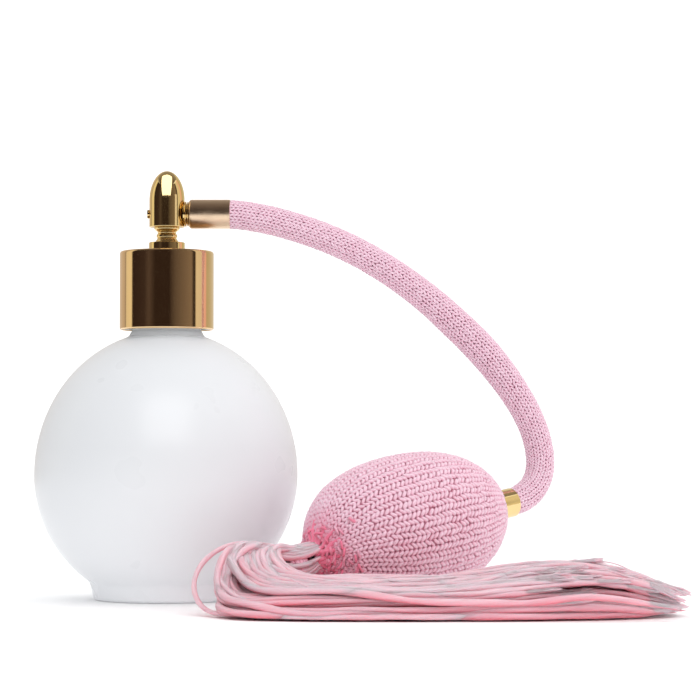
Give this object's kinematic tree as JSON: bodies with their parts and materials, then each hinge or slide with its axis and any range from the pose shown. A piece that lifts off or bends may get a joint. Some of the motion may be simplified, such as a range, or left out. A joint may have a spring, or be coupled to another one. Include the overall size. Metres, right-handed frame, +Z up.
{
  "type": "perfume atomizer bottle",
  "caption": "Round opal-glass scent bottle with a screw-on metal sprayer, knitted hose, netted squeeze bulb and a silky tassel.",
  "frame": {"origin": "centre of the bottle's flat base, on the surface that it stands on", "axes": "+Z up the bottle's axis, +X along the side arm towards the hose and the bulb, +Y away from the tassel"},
  "size_m": [0.1913, 0.1363, 0.1282],
  "materials": {
    "opal_glass": "semi-gloss opal white",
    "gold_metal": "polished, warm gold",
    "white_plastic": "satin",
    "clear_plastic": "translucent",
    "seal_rubber": "matte",
    "bulb_rubber": "matte",
    "steel": "polished",
    "pink_knit": "lustrous knitted yarn",
    "pink_strands": "silky loose strands"
  },
  "bodies": {
    "bottle": {"bottle_body": "opal_glass", "bottle_neck": "opal_glass"},
    "rim_seal": {"neck_gasket": "seal_rubber"},
    "sprayer_base": {"stem": "white_plastic", "seat_disc": "gold_metal", "dip_tube": "clear_plastic", "head_o_ring": "seal_rubber"},
    "collar": {"collar_shell": "gold_metal", "collar_insert": "white_plastic"},
    "spray_head": {"spray_head": "gold_metal", "jet_tube": "gold_metal", "nozzle_tip": "gold_metal", "side_nipple": "gold_metal", "hose_ferrule": "gold_metal", "hose_tube": "bulb_rubber", "hose_braid": "pink_knit", "bulb_ferrule": "gold_metal", "bulb_connector": "white_plastic", "outlet_valve_stop": "white_plastic", "rubber_bulb": "bulb_rubber", "bulb_net": "pink_knit", "inlet_valve_body": "steel", "inlet_valve_stop": "white_plastic", "tassel_knot": "pink_strands", "tassel": "pink_strands"},
    "outlet_ball": {"outlet_valve_ball": "steel"},
    "inlet_ball": {"inlet_valve_ball": "steel"}
  },
  "joints": [
    {"name": "lift_out", "type": "slide", "parent": "bottle", "child": "rim_seal", "axis": [0, 0, 1], "range_m": [0, 0.1]},
    {"name": "unscrew_rise", "type": "slide", "parent": "rim_seal", "child": "sprayer_base", "axis": [0, 0, 1], "range_m": [0, 0.0045]},
    {"name": "collar_turn", "type": "hinge", "parent": "sprayer_base", "child": "collar", "pos_m": [0, 0, 0.09], "axis": [0, 0, 1], "range_deg": [0, 540]},
    {"name": "head_swivel", "type": "hinge", "parent": "sprayer_base", "child": "spray_head", "pos_m": [0, 0, 0.112], "axis": [0, 0, 1], "continuous": true},
    {"name": "bulb_squeeze", "type": "slide", "parent": "spray_head", "child": "outlet_ball", "axis": [0.7783, 0.6081, 0.1564], "range_m": [0, 0.001], "deforming": ["rubber_bulb", "bulb_net"]},
    {"name": "inlet_lift", "type": "slide", "parent": "spray_head", "child": "inlet_ball", "axis": [0.7783, 0.6081, 0.1564], "range_m": [0, 0.001]}
  ],
  "couplings": [
    {"joint": "unscrew_rise", "follows": "collar_turn", "m_per_rad": 0.00047746}
  ]
}
